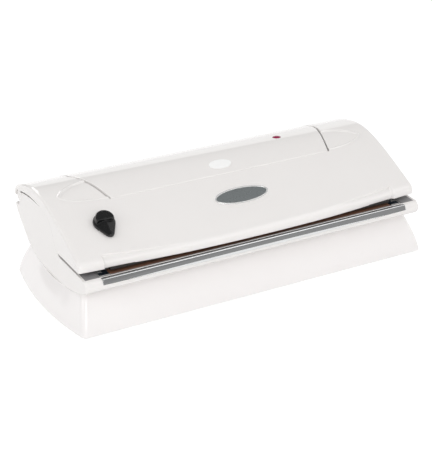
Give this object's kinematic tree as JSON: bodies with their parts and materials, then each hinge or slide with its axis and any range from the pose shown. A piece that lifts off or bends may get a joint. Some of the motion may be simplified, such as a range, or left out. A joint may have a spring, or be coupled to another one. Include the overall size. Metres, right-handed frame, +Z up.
{
  "type": "vacuum sealer",
  "caption": "Bag vacuum sealer: long white tub on a flared pedestal, rear-hinged curved lid round a fixed crown, sealing bar behind a bright trim strip, and a black valve knob.",
  "frame": {"origin": "centre of the footprint box, on the surface that the rubber feet stand on", "axes": "+X along the body to the right of a user at the front, +Y to the back where the hinge is, +Z up"},
  "size_m": [0.396, 0.172, 0.1074],
  "materials": {
    "white_abs": "gloss moulded ABS",
    "base_abs": "fine texture ABS",
    "deck_abs": "satin grey ABS",
    "foot_rubber": "soft rubber",
    "screw_steel": "zinc plated steel",
    "trim_chrome": "bright chrome",
    "bar_aluminium": "extruded aluminium",
    "ribbon_steel": "resistance ribbon",
    "release_tape": "brown woven glass release tape",
    "block_plastic": "dark blue heat-proof plastic",
    "gasket_foam": "closed cell foam",
    "hose_rubber": "silicone hose",
    "pump_plastic": "glass filled nylon",
    "motor_steel": "plated steel",
    "copper_winding": "enamelled copper",
    "board_green": "printed circuit laminate",
    "lens_red": "clear red acrylic",
    "badge_white": "gloss domed label, bare",
    "plate_grey": "satin grey plate, bare",
    "black_plastic": "satin black ABS",
    "strip_silicone": "silicone rubber",
    "seal_rubber": "nitrile rubber"
  },
  "bodies": {
    "base": {"pedestal": "white_abs", "bottom_plate": "base_abs", "rubber_feet": "foot_rubber", "base_screws": "screw_steel", "tub_shell": "white_abs", "deck_tray": "deck_abs", "chrome_trim": "trim_chrome", "seal_bar": "bar_aluminium", "heating_ribbon": "ribbon_steel", "release_tape": "release_tape", "bar_end_blocks": "block_plastic", "bar_clips": "screw_steel", "bar_springs": "screw_steel", "lower_gasket": "gasket_foam", "vacuum_port": "base_abs", "air_hose": "hose_rubber", "pump_head": "pump_plastic", "motor_can": "motor_steel", "motor_mount": "motor_steel", "transformer_core": "motor_steel", "transformer_coil": "copper_winding", "circuit_board": "board_green", "board_parts": "pump_plastic", "start_switches": "pump_plastic", "hinge_pins": "screw_steel", "crown": "white_abs", "crown_screws": "screw_steel", "signal_lens": "lens_red", "signal_board": "board_green", "crown_badge": "badge_white", "power_inlet": "black_plastic", "inlet_pins": "trim_chrome"},
    "lid": {"lid_shell": "white_abs", "lid_liner": "base_abs", "liner_screws": "screw_steel", "upper_gasket": "gasket_foam", "press_strip": "strip_silicone", "name_plate": "plate_grey", "name_plate_rim": "trim_chrome", "valve_body": "base_abs"},
    "valve": {"valve_knob": "black_plastic", "valve_spindle": "screw_steel", "valve_o_ring": "seal_rubber"},
    "rotor": {"motor_rotor": "copper_winding", "cooling_fan": "pump_plastic"},
    "plunger_left": {"start_plunger_left": "base_abs"},
    "plunger_right": {"start_plunger_right": "base_abs"}
  },
  "joints": [
    {"name": "lid_hinge", "type": "hinge", "parent": "base", "child": "lid", "pos_m": [0, 0.074, 0.0825], "axis": [-1, 0, 0], "range_deg": [-1, 60], "deforming": ["lower_gasket"]},
    {"name": "valve_turn", "type": "hinge", "parent": "lid", "child": "valve", "pos_m": [-0.145, -0.0355, 0.08691], "axis": [0, -0.4132, 0.9107], "range_deg": [-45, 45]},
    {"name": "rotor_spin", "type": "hinge", "parent": "base", "child": "rotor", "pos_m": [0.06, 0.034, 0.062], "axis": [1, 0, 0], "continuous": true},
    {"name": "plunger_left_push", "type": "slide", "parent": "base", "child": "plunger_left", "axis": [0, 0, -1], "range_m": [0, 0.002], "stiffness_N_per_m": 150, "springref_m": -0.001},
    {"name": "plunger_right_push", "type": "slide", "parent": "base", "child": "plunger_right", "axis": [0, 0, -1], "range_m": [0, 0.002], "stiffness_N_per_m": 150, "springref_m": -0.001}
  ]
}
